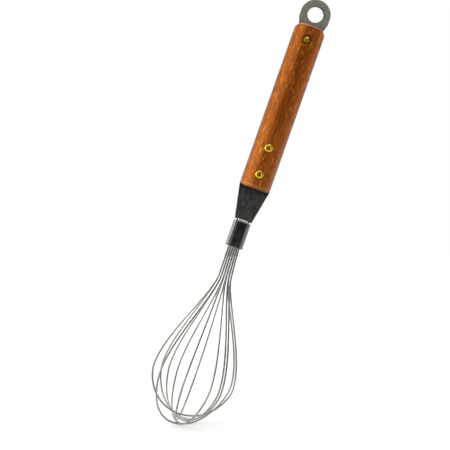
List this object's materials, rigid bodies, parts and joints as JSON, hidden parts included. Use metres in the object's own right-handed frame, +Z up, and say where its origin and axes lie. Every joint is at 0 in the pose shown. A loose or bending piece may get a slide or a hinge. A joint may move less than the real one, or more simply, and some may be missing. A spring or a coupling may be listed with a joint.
{
  "type": "balloon whisk",
  "caption": "Balloon whisk: flat steel tang with hanging eye, riveted wooden scales, crimped ferrule and a cage of spring-wire loops.",
  "frame": {"origin": "centre of the hanging eye, in the middle of the steel blank's thickness", "axes": "+Z up along the handle towards the eye's end, X across the flat of the handle, front face towards -Y"},
  "size_m": [0.0583, 0.0579, 0.3062],
  "materials": {
    "tang_steel": "dull grey rolled steel with a dark oxide bloom on the neck",
    "wood": "oiled reddish-brown hardwood with open pores",
    "brass": "polished",
    "ferrule_steel": "crimped bright steel",
    "spring_wire": "drawn stainless wire"
  },
  "bodies": {
    "root": {"tang": "tang_steel", "front_scale": "wood", "rear_scale": "wood", "rivet_top": "brass", "rivet_middle": "brass", "rivet_lower": "brass", "ferrule": "ferrule_steel", "wire_loop_1": "spring_wire", "wire_loop_2": "spring_wire", "wire_loop_3": "spring_wire", "wire_loop_4": "spring_wire", "wire_loop_5": "spring_wire", "wire_loop_6": "spring_wire"}
  },
  "joints": []
}
